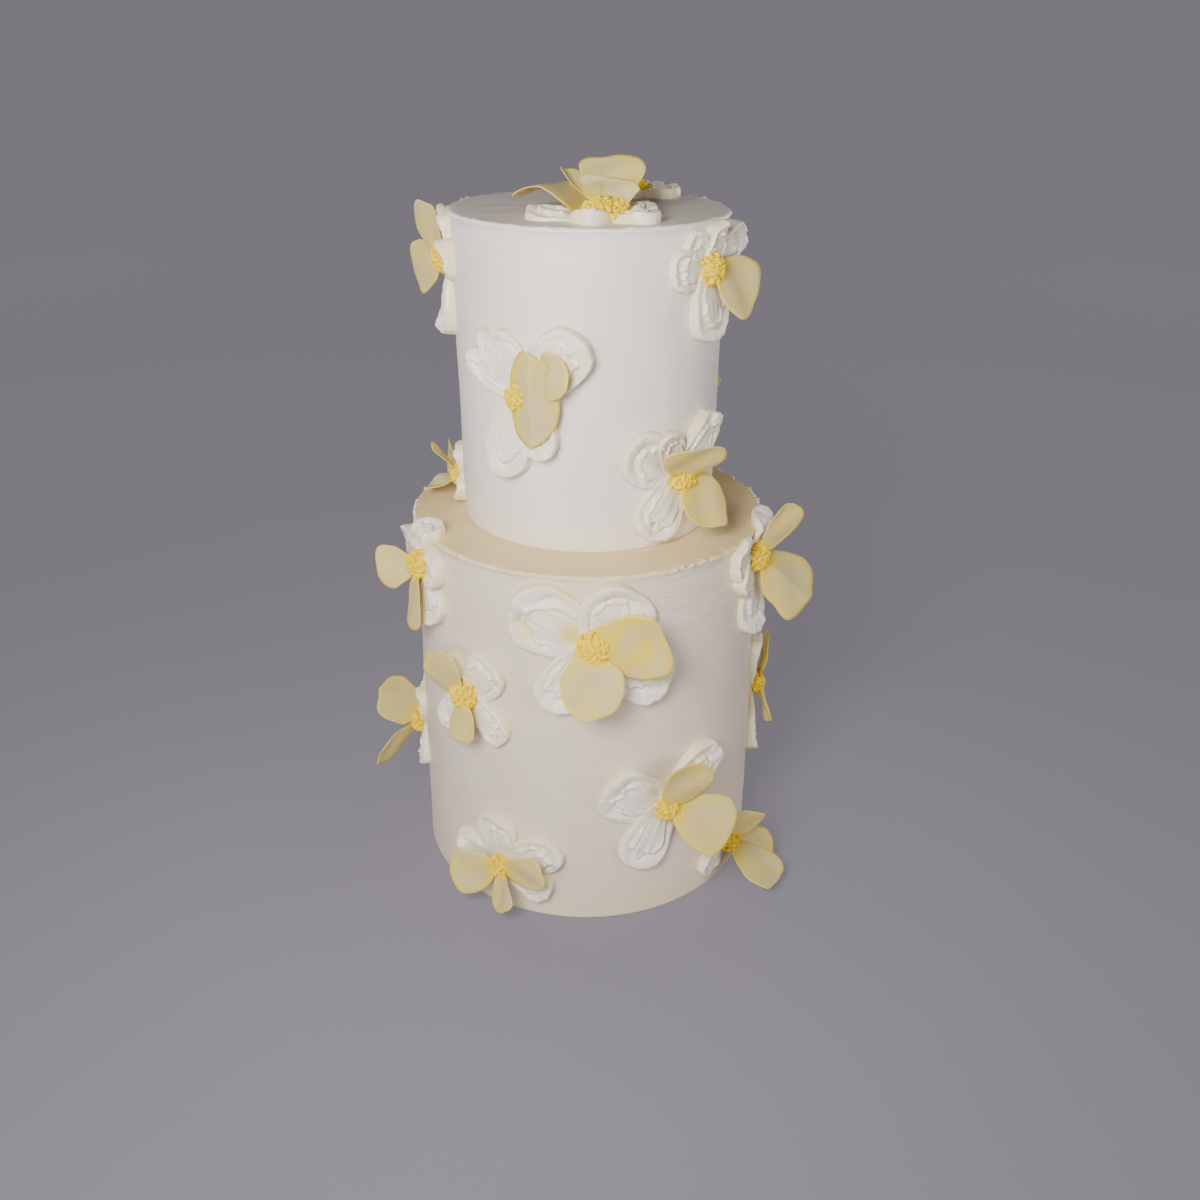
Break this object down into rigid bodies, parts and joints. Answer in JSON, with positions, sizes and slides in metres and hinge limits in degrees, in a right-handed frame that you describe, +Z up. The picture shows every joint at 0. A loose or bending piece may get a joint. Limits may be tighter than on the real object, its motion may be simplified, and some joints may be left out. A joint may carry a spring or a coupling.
{
  "type": "christening cake",
  "caption": "Tall tiered round celebration cake in smooth pale buttercream, with palette-knife cream petals, wafer-paper petals and crumbly yellow flower middles.",
  "frame": {"origin": "middle of the lower tier's foot, at the height of the surface it stands on", "axes": "+Z up through the middle of both tiers, front towards -Y"},
  "size_m": [0.2082, 0.2062, 0.3328],
  "materials": {
    "coat": "satin buttercream, palette-knife smoothed",
    "cream": "satin buttercream, spread with a knife",
    "wafer": "matt, slightly see-through wafer paper",
    "stamen": "matt crumbs"
  },
  "bodies": {
    "root": {"lower_tier": "coat", "upper_tier": "coat", "cream_upper_left_rim": "cream", "cream_upper_right_rim": "cream", "cream_upper_middle": "cream", "cream_upper_right_low": "cream", "cream_upper_left_low": "cream", "cream_lower_left_rim": "cream", "cream_centre": "cream", "cream_lower_left_middle": "cream", "cream_lower_left_side": "cream", "cream_lower_right_rim": "cream", "cream_lower_right_side": "cream", "cream_lower_right_front": "cream", "cream_lower_right_foot": "cream", "cream_lower_left_foot": "cream", "cream_upper_back_high": "cream", "cream_upper_back_low": "cream", "cream_upper_back_left": "cream", "cream_lower_back_rim": "cream", "cream_lower_back_right": "cream", "cream_lower_back_left": "cream", "cream_lower_back_foot_right": "cream", "cream_lower_back_foot_left": "cream", "cream_top_front": "cream", "cream_top_back": "cream", "bloom_upper_left_rim": "wafer", "bloom_upper_right_rim": "wafer", "bloom_upper_middle": "wafer", "bloom_upper_right_low": "wafer", "bloom_upper_left_low": "wafer", "bloom_lower_left_rim": "wafer", "bloom_centre": "wafer", "bloom_lower_left_middle": "wafer", "bloom_lower_left_side": "wafer", "bloom_lower_right_rim": "wafer", "bloom_lower_right_side": "wafer", "bloom_lower_right_front": "wafer", "bloom_lower_right_foot": "wafer", "bloom_lower_left_foot": "wafer", "bloom_upper_back_high": "wafer", "bloom_upper_back_low": "wafer", "bloom_upper_back_left": "wafer", "bloom_lower_back_rim": "wafer", "bloom_lower_back_right": "wafer", "bloom_lower_back_left": "wafer", "bloom_lower_back_foot_right": "wafer", "bloom_lower_back_foot_left": "wafer", "bloom_top_front": "wafer", "bloom_top_back": "wafer"}
  },
  "joints": []
}
